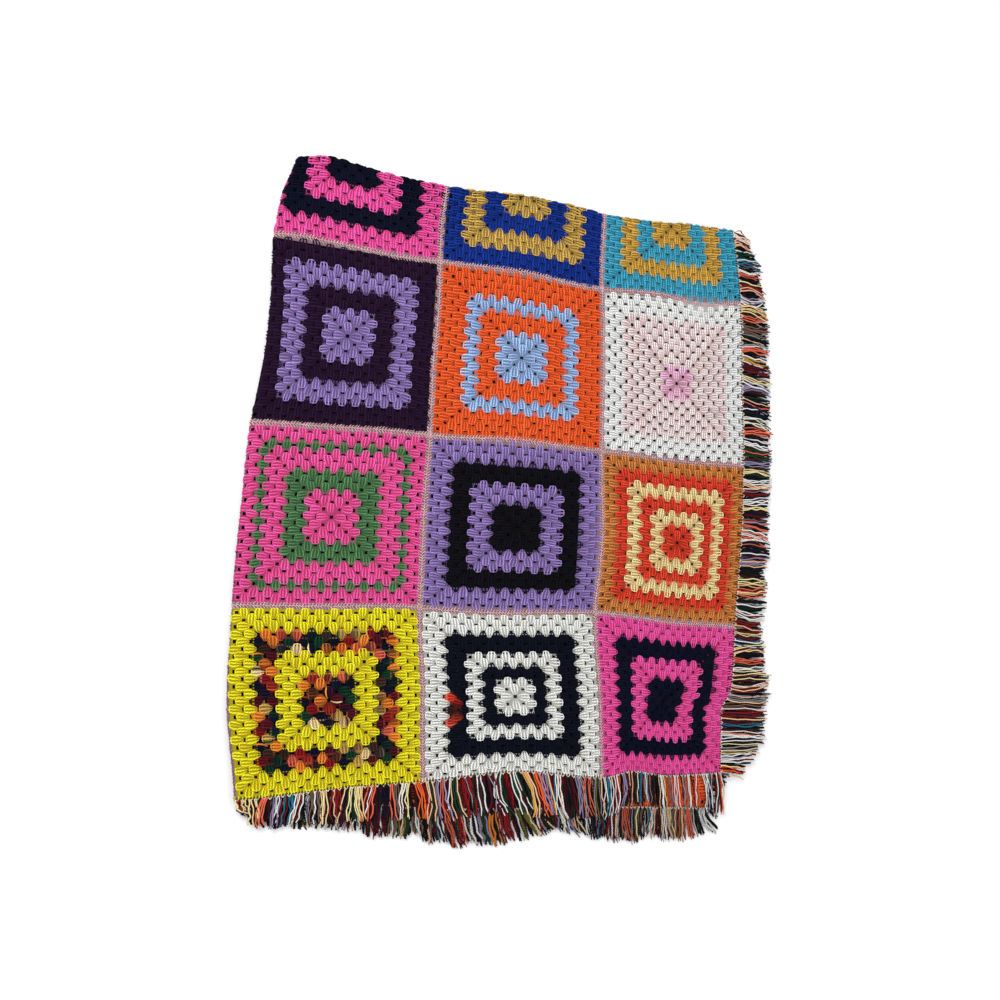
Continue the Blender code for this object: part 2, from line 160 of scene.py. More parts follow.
# Length of the fringe by place along each edge, from the fold.
SIDE_FRINGE = ((-160, 58), (-60, 46), (0, 30), (60, 46), (160, 56), (880, 52), (930, 34), (980, 22))
RIGHT_FRINGE = metres(
    (-980, 38), (-950, 72), (-910, 90), (-850, 90), (-790, 72), (-700, 60), *SIDE_FRINGE)
LEFT_FRINGE = metres((-980, 22), (-930, 34), (-870, 54), *SIDE_FRINGE)
NEAR_FRINGE = metres(
    (-840, 36), (-770, 52), (-60, 46), (-30, 40), (0, 14), (30, 40), (60, 46), (240, 54), (320, 64),
    (560, 66), (640, 54), (780, 56), (840, 74),
)
FAR_FRINGE = metres(
    (-840, 36), (-770, 52), (-60, 46), (0, 38), (60, 44), (130, 44), (225, 48), (250, 42), (278, 43),
    (290, 56), (312, 54), (390, 56), (424, 53), (440, 48), (462, 40), (518, 40), (540, 48), (588, 49),
    (620, 55), (665, 58), (676, 48), (700, 45), (714, 54), (800, 52), (843, 34),
)


# ---- from flat to folded

def catmull_rom(t):
    """Weights of the four values round the stretch that t runs along."""
    return (
        (-t + 2 * t * t - t ** 3) / 2,
        (2 - 5 * t * t + 3 * t ** 3) / 2,
        (t + 4 * t * t - 3 * t ** 3) / 2,
        (-t * t + t ** 3) / 2,
    )


def along_table(table, position):
    """Read a two-column table smoothly, and level past its ends."""
    last = len(table) - 1
    position = np.clip(position, table[0, 0], table[last, 0])
    i = np.clip(np.searchsorted(table[:, 0], position, side="right") - 1, 0, last - 1)
    t = (position - table[i, 0]) / (table[i + 1, 0] - table[i, 0])
    ends = (np.maximum(i - 1, 0), i, i + 1, np.minimum(i + 2, last))
    return sum(w * table[k, 1] for w, k in zip(catmull_rom(t), ends))


def crossing_table():
    """Places of all join crossings, with one row and column past each edge, straight on."""
    table = np.zeros((ROWS + 3, COLUMNS + 3, 2))
    half_rows = (ROWS + 1) // 2
    for row in range(ROWS + 1):
        near = row < half_rows
        step = half_rows - 1 - row if near else row - half_rows
        pitch, first, edge = FOURTH_LAYER if near else THIRD_LAYER
        for column in range(COLUMNS // 2):
            across = EVEN_PITCH_ACROSS * (COLUMNS // 2 - column) if column else edge[step]
            table[row + 1, column + 1] = (across, first + pitch * step)
        right = (TOP_LAYER if near else SECOND_LAYER)[step]
        table[row + 1, COLUMNS // 2 + 1:COLUMNS + 2] = right
    table[:, 0] = 2 * table[:, 1] - table[:, 2]
    table[:, -1] = 2 * table[:, -2] - table[:, -3]
    table[0] = 2 * table[1] - table[2]
    table[-1] = 2 * table[-2] - table[-3]
    return table * MM


CROSSINGS = crossing_table()


def pull(u, v):
    """How far the upper layer is pulled out of true at points of the flat blanket."""
    down = (SQUARE / 2 - v) / SQUARE
    column = np.clip((u / SQUARE).astype(int), 0, COLUMNS // 2 - 1)
    row = np.clip(down.astype(int), 0, ROWS // 2)
    a = 2 * (u / SQUARE - column) - 1
    b = 2 * (down - row) - 1
    fade = (1 - a * a) * (1 - b * b)
    shift = MIDDLES[row, column] * fade[..., None]
    for axis, tables, number, c, along in ((0, BOWS_RIGHT, column, a, v), (1, BOWS_UP, row, b, u)):
        for k, table in enumerate(tables):
            beside = ((number == k) & (c > 0)) | ((number == k + 1) & (c < 0))
            shift[..., axis] += beside * c * c * along_table(table, along)
    kink = np.clip((u - KINK_FROM) / KINK_REACH, 0, 1)
    shift[..., 0] += kink * kink * (3 - 2 * kink) * along_table(EDGE_KINK, v)
    return shift * ((u >= 0) & (v <= SQUARE / 2))[..., None]


def lay(u, v):
    """Places across and along the two creases of points of the flat blanket."""
    inside_u = np.clip(u, -HALF_WIDTH, HALF_WIDTH)
    inside_v = np.clip(v, -HALF_LENGTH, HALF_LENGTH)
    columns = (inside_u + HALF_WIDTH) / SQUARE
    rows = (inside_v + HALF_LENGTH) / SQUARE
    column = np.minimum(columns.astype(int), COLUMNS - 1)
    row = np.minimum(rows.astype(int), ROWS - 1)
    across_weights = catmull_rom(columns - column)
    along_weights = catmull_rom(rows - row)
    place = np.stack([u - inside_u, v - inside_v], -1) + pull(inside_u, inside_v)
    for i, row_weight in enumerate(along_weights):
        for j, column_weight in enumerate(across_weights):
            place += (row_weight * column_weight)[..., None] * CROSSINGS[row + i, column + j]
    return place[..., 0], place[..., 1]


def fold_top(along, lift):
    """Turn the far half under: gives y and the height above the middle of the two layers."""
    radius = TOP_ROLL + lift
    angle = math.pi / 2 * (1 + np.clip(along / TOP_REACH, -1, 1))
    rest = np.maximum(np.abs(along) - TOP_REACH, 0)
    return radius * np.sin(angle) - TOP_ROLL - rest, radius * np.cos(angle)


def fold_left(across, height):
    """Turn the left half under: gives x and z."""
    radius = LEFT_ROLL + height
    angle = math.pi / 2 * (1 - np.clip(across / LEFT_REACH, -1, 1))
    rest = np.maximum(np.abs(across) - LEFT_REACH, 0)
    return FOLD_AXIS - radius * np.sin(angle) + rest, FOLD_AXIS + radius * np.cos(angle)


def settle(x, y, z):
    """The folded stack as it lies: uneven edges, fuller folds, a slow swell and a thin fringe."""
    puff = LEFT_PUFF * np.maximum(0, 1 - x / PUFF_REACH) + TOP_PUFF * np.maximum(0, 1 + y / PUFF_REACH)
    swell = SWELL * np.sin(2 * math.pi * x / SWELL_ACROSS) * np.sin(2 * math.pi * y / SWELL_ALONG)
    outside = np.maximum(0, np.maximum(x - FRINGE_START_X, FRINGE_START_Y - y))
    sink = 1 - SINK * np.minimum(1, outside / SINK_REACH)
    left_wave = along_table(LEFT_FOLD_WAVE, y) * np.maximum(0, 1 - x / FOLD_WAVE_REACH)
    top_wave = along_table(TOP_FOLD_WAVE, x) * np.maximum(0, 1 + y / FOLD_WAVE_REACH)
    line = along_table(LEFT_FOLD_LINE, y)
    return np.stack([
        CORNER_X + x + line + left_wave, CORNER_Y + y + top_wave, z * (1 + puff + swell) * sink], -1)


def folded(across, along, lift):
    """Laid-out points, lifted off the cloth's middle towards the right side, in their folds."""
    y, height = fold_top(along, lift)
    x, z = fold_left(across, height)
    return settle(x, y, z)


DRIFT = 0.9 * MM
DRIFT_FADE = 0.03  # metres from the blanket's edges, where there is none


def drift(u, v):
    """Where yarn lies for the small unevenness of hand-made squares."""
    du = DRIFT * np.sin(u / 0.071 + 2.1 * np.sin(v / 0.093)) + DRIFT * np.sin(v / 0.034 + 1.3)
    dv = DRIFT * np.sin(v / 0.067 + 1.7 * np.sin(u / 0.081)) + DRIFT * np.sin(u / 0.031 + 0.4)
    fade_u = np.clip((HALF_WIDTH - np.abs(u)) / DRIFT_FADE, 0, 1)
    fade_v = np.clip((HALF_LENGTH - np.abs(v)) / DRIFT_FADE, 0, 1)
    return u + du * fade_u, v + dv * fade_v


def place(points):
    """Flat points (..., u v w) to their places in the folded blanket."""
    u, v = drift(points[..., 0], points[..., 1])
    across, along = lay(u, v)
    return folded(across, along, points[..., 2])


# ---- colours

def srgb(levels):
    """A colour of 0 to 255 levels as linear light."""
    c = np.array(levels) / 255
    return np.where(c <= 0.04045, c / 12.92, ((c + 0.055) / 1.055) ** 2.4)


YARN = {name: srgb(levels) for name, levels in {
    "hot_pink": (253, 88, 166), "navy": (13, 16, 39), "aubergine": (42, 18, 48),
    "lilac": (149, 124, 186), "royal_blue": (23, 54, 145), "gold": (202, 165, 84),
    "sky_blue": (70, 168, 197), "mustard": (210, 165, 74), "orange": (255, 98, 46),
    "light_blue": (160, 187, 232), "white": (255, 255, 252), "pale_pink": (255, 226, 224),
    "bright_pink": (255, 190, 218), "pink": (249, 91, 160), "green": (84, 128, 84),
    "maroon": (84, 18, 34), "black": (14, 14, 22), "red": (226, 69, 47),
    "cream": (255, 217, 156), "mustard_brown": (209, 132, 68), "yellow": (240, 222, 38),
    "off_white": (244, 244, 236), "dark_navy": (12, 16, 32), "mauve": (212, 172, 176),
    "coral": (226, 104, 78), "dark_green": (20, 62, 40), "teal": (38, 112, 140),
    "dark_red": (140, 22, 30), "grey": (140, 140, 148), "taupe": (120, 96, 84),
    "olive": (104, 104, 40), "umber": (52, 32, 26), "amber": (244, 138, 50),
    "picot": (244, 222, 200), "peach": (250, 190, 150), "grey_lilac": (150, 136, 170),
}.items()}
# Yarns dyed in short lengths of several colours.
DYED = {
    "variegated": (
        "navy maroon amber dark_red dark_navy dark_green navy amber umber dark_red navy gold maroon "
        "dark_green dark_navy coral dark_red amber navy dark_green cream"
    ).split(),
    "ember": ("dark_red", "red", "umber", "coral"),
}
DYE_SHARPNESS = 4  # how abruptly a dyed yarn goes from one colour to the next


def striped(inner, outer):
    """Two yarns that take turns, three rounds each."""
    return ((inner, 3), (outer, 3)) * 2


# Colours of a square from its middle out: (yarn, rounds).
TOP_SQUARES = {
    (3, 3): striped("navy", "hot_pink"),
    (4, 3): striped("gold", "royal_blue"),
    (5, 3): striped("mustard", "sky_blue"),
    (3, 2): striped("lilac", "aubergine"),
    (4, 2): (("light_blue", 3), ("orange", 3), ("light_blue", 2), ("orange", 4)),
    (5, 2): (("bright_pink", 2), ("pale_pink", 7), ("white", 3)),
    (3, 1): (("pink", 3), ("green", 3), ("pink", 3), ("green", 1), ("pink", 2)),
    (4, 1): striped("black", "lilac"),
    (5, 1): (("red", 2), ("cream", 2), ("red", 2), ("cream", 2), ("red", 2), ("mustard_brown", 2)),
    (3, 0): striped("variegated", "yellow"),
    (4, 0): (("off_white", 2), ("dark_navy", 2), ("off_white", 2), ("dark_navy", 3), ("off_white", 3)),
    (5, 0): striped("navy", "hot_pink"),
}
LOWER_SQUARES = (
    striped("mustard", "dark_red"), striped("white", "teal"), striped("green", "cream"),
    striped("orange", "coral"), striped("lilac", "navy"),
    (("maroon", 3), ("pale_pink", 3), ("maroon", 6)), striped("yellow", "royal_blue"),
)
# Lower squares of which an edge shows, with the yarn of their last rounds.
SEEN_EDGES = {(5, 6): "orange", (4, 6): "dark_red", (3, 6): "dark_red", (5, 5): "maroon", (5, 4): "teal"}
SEEN_ROUNDS = 5


def square_rounds(column, row):
    """The yarn of each round of a square, from its middle out."""
    runs = TOP_SQUARES.get((column, row))
    if runs is None:
        runs = LOWER_SQUARES[(3 * column + 5 * row + 1) % len(LOWER_SQUARES)]
    names = [name for name, count in runs for _ in range(count)]
    if (column, row) in SEEN_EDGES:
        names[-SEEN_ROUNDS:] = [SEEN_EDGES[column, row]] * SEEN_ROUNDS
    return names


DICE = np.random.default_rng(42)


def yarn_colours(names, runs):
    """One colour for each name, with dyed yarns changing along their runs."""
    colours = np.zeros((len(names), 3))
    for k, (name, run) in enumerate(zip(names, runs)):
        if name in DYED:
            choices = DYED[name]
            step = int(run) % len(choices)
            mixed = (run % 1) ** DYE_SHARPNESS
            colours[k] = (1 - mixed) * YARN[choices[step]] + mixed * YARN[choices[step - 1]]
        else:
            colours[k] = YARN[name]
    return colours


def shade_variation(count, spread):
    """Small random lightness for each strand."""
    return 1 + spread * DICE.standard_normal((count, 1))


# ---- yarn as joined tubes

SIDES = 3  # of each tube
TUBE_PAINTED_LIGHT = np.array([1.18, 0.62, 0.62])  # painted highlight along its upper edge and painted shade along its lower ones
FACE_STEPS = ((0, 0), (0, 1), (1, 1), (1, 0))  # from ring to ring and from side to side


def with_lift(flat, lift):
    """Places on the flat blanket, with how far each is lifted off it."""
    return np.concatenate([flat, np.broadcast_to(lift, flat.shape[:-1])[..., None]], -1)


def unit(vectors):
    """Vectors (n, rings, 3) at length one."""
    return vectors / (np.linalg.norm(vectors, axis=2, keepdims=True) + 1e-12)


class Yarns:
    """Collects tubes of yarn, all flat on the blanket, and makes one piece of them."""

    def __init__(self):
        self.groups = []
        self.count = 0

    def add(self, paths, radii, colours, flat=0.8, ridge=90):
        """paths is (n, rings, 3), radii (n, rings) and colours (n, 3) or (n, rings, 3).

        A tube is flat times as high as it is wide, with one edge ridge degrees up from the blanket.
        """
        count, rings = paths.shape[:2]
        colours = np.clip(colours, 0, 1)
        if colours.ndim == 2:
            colours = np.repeat(colours[:, None], rings, axis=1)
        along = unit(np.gradient(paths, axis=1))
        across = unit(np.cross(np.array([0.0, 0.0, 1.0]), along))
        outward = np.cross(along, across)
        angles = math.radians(ridge) + 2 * math.pi * np.arange(SIDES) / SIDES
        ring = (np.cos(angles)[:, None] * across[:, :, None, :]
                + flat * np.sin(angles)[:, None] * outward[:, :, None, :])
        verts = paths[:, :, None, :] + radii[:, :, None, None] * ring
        steps = np.linalg.norm(np.diff(paths, axis=1), axis=2)
        run = np.concatenate([np.zeros((count, 1)), np.cumsum(steps, axis=1)], axis=1)
        tube = self.count + (np.arange(count) * rings * SIDES)[:, None, None]
        at = np.arange(rings - 1)[None, :, None]
        side = np.arange(SIDES)[None, None, :]
        quads, uvs = [], []
        for r, s in FACE_STEPS:
            quads.append(tube + (at + r) * SIDES + (side + s) % SIDES)
            corner = np.broadcast_arrays(run[:, r:rings - 1 + r, None], (side + s) / SIDES)
            uvs.append(np.stack(corner, -1))
        # Painted highlight on each tube's upper edge and painted shade on its lower ones.
        shaded = np.clip(colours[:, :, None, :] * TUBE_PAINTED_LIGHT[:, None], 0, 1)
        self.count += count * rings * SIDES
        self.groups.append((
            verts.reshape(-1, 3), np.stack(quads, -1).reshape(-1, 4),
            np.stack(uvs, -2).reshape(-1, 2), shaded.reshape(-1, 3),
        ))

    def piece(self, name, material):
        """Fold everything into place as one smooth mesh object."""
        verts, quads, uvs, colours = (np.concatenate(parts) for parts in zip(*self.groups))
        points = place(verts)
        points[:, 2] = np.maximum(points[:, 2], 0)  # the floor presses the yarn flat
        mesh = bpy.data.meshes.new(name)
        mesh.from_pydata(points, [], quads, shade_flat=False)
        add_colours(mesh, colours, "POINT")
        run = mesh.uv_layers.new(name="yarn_run")
        run.data.foreach_set("uv", uvs.astype(np.float32).ravel())
        return finish_piece(name, mesh, material)


def add_colours(mesh, colours, domain):
    """Write one linear colour for each point or face corner."""
    # The yarn's own colour with painted highlight and painted shade.
    layer = mesh.color_attributes.new("yarn_colour", "FLOAT_COLOR", domain)
    filled = np.ones((len(colours), 4), dtype=np.float32)
    filled[:, :3] = colours
    layer.data.foreach_set("color", filled.ravel())


def add_object(name, data):
    """A new object in the scene."""
    thing = bpy.data.objects.new(name, data)
    bpy.context.scene.collection.objects.link(thing)
    return thing


def finish_piece(name, mesh, material):
    """Make the object, give it its material and let it ride on the blanket."""
    mesh.materials.append(material)
    piece = add_object(name, mesh)
    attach(piece, "root")
    return piece


# ---- layers

PAST_LEFT_FOLD = 16 * MM  # how far past the folds the upper layer is worked in full
PAST_TOP_FOLD = 9 * MM
SECOND_EDGE_ALONG = 0.93  # from here on the second layer's edges may show
SECOND_EDGE_ACROSS = 0.77


def layer_of(points):
    """Across and along places of flat points, to tell which layer they lie on."""
    return lay(*drift(points[..., 0], points[..., 1]))


def second_edge(across, along):
    """Which places of the second layer are beside its shown edges."""
    return (along > SECOND_EDGE_ALONG) | (across > SECOND_EDGE_ACROSS)


def worked_layers(points):
    """Which flat points are on the upper layer, at the second one's edge, and on the lowest."""
    across, along = layer_of(points)
    left = across <= -PAST_LEFT_FOLD
    near = along < PAST_TOP_FOLD
    return ~left & near, (across > 0) & ~near & second_edge(across, along), left & near


# ---- squares

def quarter_turns():
    """The way out from a square's middle and the way across it, for each of its four sides."""
    ways = [(math.cos(k * math.pi / 2), math.sin(k * math.pi / 2)) for k in range(4)]
    return [(np.array([x, y]), np.array([-y, x])) for x, y in ways]


QUARTERS = quarter_turns()


def clusters_of_square():
    """Every cluster of a square: its middle (2), way across (2), way out (2) and round."""
    rows = []
    for n in range(1, ROUNDS + 1):
        radius = FIRST_ROUND + n * ROUND
        for out, across in QUARTERS:
            for k in range(n):
                middle = radius * (out + across * (2 * k - (n - 1)) / n)
                rows.append((*middle, *across, *out, n))
    return np.array(rows)


SQUARE_CLUSTERS = clusters_of_square()

POST_REACH = 9.3 * MM  # half height of a cluster's middle post
SIDE_REACH = 8.5 * MM  # and of the two beside it
SIDE_DROP = 0.15 * MM  # how much lower those two lie
POST_APART = 4.9 * MM
POST_LIFT = -0.1 * MM
POST_BELLY = 0.7 * MM
POST_RADII = 2.5 * MM * np.array([0.66, 0.9, 1.0, 1.02, 0.85])
# Lightness of the posts along their rings: the middle post a little darker, with painted shade at a post's
# base and painted highlight towards its tip.
POST_PAINTED_LIGHT = np.outer([1.05, 0.93, 1.05], [0.52, 0.82, 0.99, 1.12, 1.24])
CAP_REACH = 4.8 * MM
CAP_AT = 7.0 * MM  # where a cap's ends lie, out from the cluster's middle
CAP_CROWN = 1.6 * MM
CAP_LIFT = 0.6 * MM
CAP_RADII = 1.3 * MM * np.array([0.7, 1.0, 1.0, 1.0, 0.7])
# Painted highlight on a cap's crown and painted shade at its ends.
CAP_PAINTED_LIGHT = np.array([0.95, 1.05, 1.08, 1.05, 0.95])
COARSE_APART = 3.6 * MM
COARSE_REACH = 8.8 * MM
COARSE_LIFT = 0.25 * MM
COARSE_RADII = np.array([1.3, 2.1, 1.6]) * MM
# Painted shade at the coarse posts' bases and painted highlight towards their tips.
COARSE_PAINTED_LIGHT = np.array([0.8, 1.0, 1.05])
LAST_ROUND = 0.8  # the last round's tips are drawn in under the join
# Unevenness of clusters: across, out, lift, slant and width.
CLUSTER_JITTER = np.array([0.7 * MM, 0.6 * MM, 0.12, 0.09, 0.06])
YARN_SPREAD = 0.11  # unevenness of the strands' lightness


def post_strands():
    """A cluster's three posts: (strand, ring, across out lift), their radii and painted light and shade."""
    t = np.linspace(-1, 1, len(POST_RADII))
    apart = POST_APART * (0.98 - 0.38 * t * t + 0.2 * t)
    lift = POST_LIFT + POST_BELLY * (1 - t * t)
    strands = [
        np.stack([-apart, SIDE_REACH * t, lift - SIDE_DROP], -1),
        np.stack([0 * t, POST_REACH * t, lift], -1),
        np.stack([apart, SIDE_REACH * t, lift - SIDE_DROP], -1),
    ]
    return np.array(strands), np.tile(POST_RADII, (3, 1)), POST_PAINTED_LIGHT


def cap_strands():
    """The loop over the posts' tops, which rounds off a cluster's tip."""
    t = np.linspace(-1, 1, len(CAP_RADII))
    crown = 1 - t * t
    cap = np.stack([CAP_REACH * t, CAP_AT + CAP_CROWN * crown, CAP_LIFT + CAP_LIFT * crown], -1)
    return cap[None], CAP_RADII[None], CAP_PAINTED_LIGHT[None]


def coarse_strands():
    """A cluster's posts in few faces, for the layer that lies on the floor."""
    t = np.linspace(-1, 1, len(COARSE_RADII))
    strands = [
        np.stack([post * COARSE_APART * (1 - 0.3 * t * t), COARSE_REACH * t, COARSE_LIFT + 0 * t], -1)
        for post in (-1, 0, 1)
    ]
    return np.array(strands), np.tile(COARSE_RADII, (3, 1)), np.tile(COARSE_PAINTED_LIGHT, (3, 1))


def set_clusters(strands, clusters, middle, jitter, scale):
    """Put copies of a cluster's strands at clusters: gives (cluster * strand, ring, 3)."""
    across, out = clusters[:, 2:4], clusters[:, 4:6]
    width, height = scale
    aside, outward, lifted, slant, wider = jitter.T[..., None, None]
    s = strands[None, :, :, 0] * (width + wider) + aside
    r = strands[None, :, :, 1] * height
    drawn_in = (clusters[:, 6, None, None] == ROUNDS) & (r > 0)
    r = np.where(drawn_in, r * LAST_ROUND, r) + outward
    s = s + slant * r
    w = strands[None, :, :, 2] * (1 + lifted)
    flat = (middle + clusters[:, 0:2])[:, None, None, :]
    flat = flat + s[..., None] * across[:, None, None, :] + r[..., None] * out[:, None, None, :]
    points = with_lift(flat, w)
    return points.reshape(-1, *points.shape[2:])


def square_middle(column, row):
    return np.array([(column + 0.5) * SQUARE - HALF_WIDTH, (row + 0.5) * SQUARE - HALF_LENGTH])


# Squares worked more tightly or loosely than the rest: width and height of their clusters, and
# the size of the gaps between them.
TENSIONS = {
    (4, 2): (1.04, 1.04, 0.8), (4, 3): (1.03, 1.05, 0.7), (5, 3): (1.03, 1.05, 0.7),
    (5, 0): (0.95, 1.04, 0.75), (5, 1): (1.02, 1.03, 0.75), (5, 2): (0.9, 0.96, 1.0),
}
EVEN_TENSION = (1.0, 1.0, 1.0)
EMBER_SQUARE = (4, 0)  # where a stretch of dyed yarn runs into two dark rounds
EMBER_ROUNDS = (8, 9)
EMBER_LEFT_OF = -75 * MM
EMBER_BETWEEN = (-52 * MM, 6 * MM)


def cluster_colours(column, row, post=1):
    """The colour of one post of each of a square's clusters."""
    rounds = square_rounds(column, row)
    low, high = EMBER_BETWEEN
    names = []
    for x, y, *_, n in SQUARE_CLUSTERS:
        ember = n in EMBER_ROUNDS and x < EMBER_LEFT_OF and low < y < high
        names.append("ember" if ember and (column, row) == EMBER_SQUARE else rounds[int(n) - 1])
    dice = np.random.default_rng(100 * column + row)
    runs = np.cumsum(dice.uniform(0.6, 1.2, len(names)))
    return yarn_colours(names, runs + 0.1 * (post - 1))


def crochet_square(fine, under, column, row):
    """Work one square's clusters, fine where they show and coarse underneath."""
    middle = square_middle(column, row)
    clusters = SQUARE_CLUSTERS
    colours = np.stack([cluster_colours(column, row, post) for post in range(3)], 1)
    jitter = DICE.normal(0, 1, (len(clusters), len(CLUSTER_JITTER))) * CLUSTER_JITTER
    scale = TENSIONS.get((column, row), EVEN_TENSION)[:2]
    top, beside, lowest = worked_layers(middle + clusters[:, 0:2])
    for yarns, chosen, kind, side, flat in (
            (fine, top, post_strands(), 1, 1.0), (fine, top, cap_strands(), 1, 1.0),
            (under, beside, post_strands(), -1, 1.0), (under, lowest, coarse_strands(), 1, 0.6)):
        strands, radii, painted_light = kind
        count = int(chosen.sum())
        if not count:
            continue
        points = set_clusters(strands, clusters[chosen], middle, jitter[chosen], scale)
        points[..., 2] *= side
        posts = [1] if len(strands) == 1 else [0, 1, 2]
        # The clusters' yarn colours times the painted shade and highlight along their strands.
        shades = colours[chosen][:, posts].reshape(-1, 1, 3) * np.tile(painted_light, (count, 1))[..., None]
        shades = shades * shade_variation(count * len(strands), YARN_SPREAD)[:, None]
        yarns.add(points, np.tile(radii, (count, 1)), shades, flat, 90 * side)


LOOP_START = -5.5 * MM  # places of a corner chain from its round's middle
LOOP_BEND = 1.5 * MM
LOOP_OUT = 3.6 * MM
LAST_LOOP_OUT = 2.6 * MM
LOOP_LIFT = metres(0.2, 0.5, 0.5, 0.2)
LOOP_RADIUS = 1.25 * MM
LOOP_SHADE = 0.9


def work_corner_loops(yarns, column, row):
    """The short chains round a square's corner spaces, one for each round and corner."""
    rounds = square_rounds(column, row)
    paths, names = [], []
    for n in range(1, ROUNDS + 1):
        reach = FIRST_ROUND + n * ROUND
        start, bend = reach + LOOP_START, reach + LOOP_BEND
        end = reach + (LAST_LOOP_OUT if n == ROUNDS else LOOP_OUT)
        flat = np.array([(start, end), (bend, end), (end, bend), (end, start)])
        for turn in QUARTERS:
            paths.append(square_middle(column, row) + flat @ np.array(turn))
            names.append(rounds[n - 1])
    paths = np.array(paths)
    points = with_lift(paths, LOOP_LIFT)
    shown = worked_layers(points[:, 1])[0]
    if shown.any():
        colours = yarn_colours(names, range(len(names)))[shown]
        yarns.add(points[shown], np.full(points[shown].shape[:2], LOOP_RADIUS), colours * LOOP_SHADE)


# ---- joins and edging

JOIN_STITCHES = 60  # along one square
JOIN_HALF = 4.8 * MM  # out to the ends of its legs
FOLD_JOIN_PAINTED_SHADE = 0.55  # painted shade on the join along the left fold, which turns down away from the light
EDGE_STITCHES = 30  # of the edging, along one square
END_TAPER = 0.8  # of a strand's radius, at both its ends
STITCH_WOBBLE = 0.3 * MM
STITCH_SPREAD = 0.12  # unevenness of the strands' lightness
JOIN_PRESSED = 0.15  # how much of their height stitches keep on the lowest layer
EDGING_PRESSED = 0.1

# Strands of one stitch: (along, across, lift). A join has a leg out to each side and a chain on
# top, and the edging two legs in from the edge and a small loop on it.
JOIN_LEGS = metres(
    *([(-1.7, side * 0.7, 0.9), (-0.3, side * 3.0, 1.0), (1.5, side * 4.8, 0.3)] for side in (-1, 1)))
JOIN_CHAIN = metres([(-2.6, -0.9, 1.1), (0, 0.7, 1.6), (2.5, -0.9, 1.1)])
EDGING_LEGS = metres(
    [(-2.4, 2.4, 1.0), (-1.6, 4.2, 1.2), (-2.0, 7.0, 0.2)],
    [(2.4, 2.4, 1.0), (3.2, 4.2, 1.2), (2.8, 7.0, 0.2)],
)
EDGING_LOOP = metres([(-2.8, 1.8, 1.2), (0, -1.4, 1.8), (2.8, 1.8, 1.2)])
# The strands of each with their radius, and for the joins their lightness.
JOIN_STRANDS = ((JOIN_LEGS, 1.0, 1.45 * MM), (JOIN_CHAIN, 1.2, 1.15 * MM))
EDGING_STRANDS = ((EDGING_LEGS, 1.5 * MM), (EDGING_LOOP, 1.6 * MM))

# Where each edge of the flat blanket starts, which way it runs, and its squares.
EDGES = {
    "near": ((-HALF_WIDTH, -HALF_LENGTH), (1, 0), [(k, 0) for k in range(COLUMNS)]),
    "right": ((HALF_WIDTH, -HALF_LENGTH), (0, 1), [(COLUMNS - 1, k) for k in range(ROWS)]),
    "far": ((HALF_WIDTH, HALF_LENGTH), (-1, 0), [(COLUMNS - 1 - k, ROWS - 1) for k in range(COLUMNS)]),
    "left": ((-HALF_WIDTH, HALF_LENGTH), (0, -1), [(0, ROWS - 1 - k) for k in range(ROWS)]),
}
# Where each join starts, which way it runs, and its length in squares.
JOINS = [((k * SQUARE - HALF_WIDTH, -HALF_LENGTH), (0, 1), ROWS) for k in range(1, COLUMNS)]
JOINS += [((-HALF_WIDTH, k * SQUARE - HALF_LENGTH), (1, 0), COLUMNS) for k in range(1, ROWS)]


def stitch_line(start, way, squares, stitches, template):
    """Copies of a stitch template along squares of the flat blanket, with stitches in each."""
    count = squares * stitches
    at = start + np.outer((np.arange(count) + 0.5) * (SQUARE / stitches), way)
    local = template[None] + DICE.normal(0, STITCH_WOBBLE, (count, 1, 1, 3))
    across = (-way[1], way[0])
    flat = at[:, None, None, :] + local[..., :1] * way + local[..., 1:2] * across
    points = with_lift(flat, local[..., 2])
    return points.reshape(-1, *points.shape[2:])


def add_stitches(yarns, points, colours, radius):
    """Add strands of a join or edging."""
    radii = np.full(points.shape[:2], radius)
    radii[:, [0, -1]] *= END_TAPER
    yarns.add(points, radii, colours * shade_variation(len(points), STITCH_SPREAD))


def work_joins(yarns):
    """The mauve joins between the squares, with only the chains on the lowest layer."""
    for start, way, squares in JOINS:
        on_fold = abs(start[0]) < 1 * MM and way == (0, 1)
        for template, tint, radius in JOIN_STRANDS:
            points = stitch_line(start, way, squares, JOIN_STITCHES, template)
            shown, beside, lowest = worked_layers(points[:, 1])
            lowest &= template is JOIN_CHAIN
            points[beside, :, 2] *= -1
            points[lowest, :, 2] *= JOIN_PRESSED
            points = points[shown | beside | lowest]
            colour = YARN["mauve"] * tint * (FOLD_JOIN_PAINTED_SHADE if on_fold else 1.0)
            add_stitches(yarns, points, colour, radius)


def work_edging(yarns):
    """One thin row of stitches along the four edges, where the fringe is knotted in."""
    for start, way, squares in EDGES.values():
        rounds = [square_rounds(*square)[-1] for square in squares]
        last_yarns = yarn_colours(rounds, range(len(squares)))
        for template, radius in EDGING_STRANDS:
            points = stitch_line(start, way, len(squares), EDGE_STITCHES, template)
            across, along = layer_of(points[:, 1])
            points[(across > 0) & (along > PAST_TOP_FOLD), :, 2] *= -1
            points[(across < 0) & (along < 0), :, 2] *= EDGING_PRESSED
            colours = YARN["picot"][None]
            if template is EDGING_LEGS:
                colours = np.repeat(last_yarns, len(points) // len(squares), axis=0)
            add_stitches(yarns, points, colours, radius)


# ---- fringe

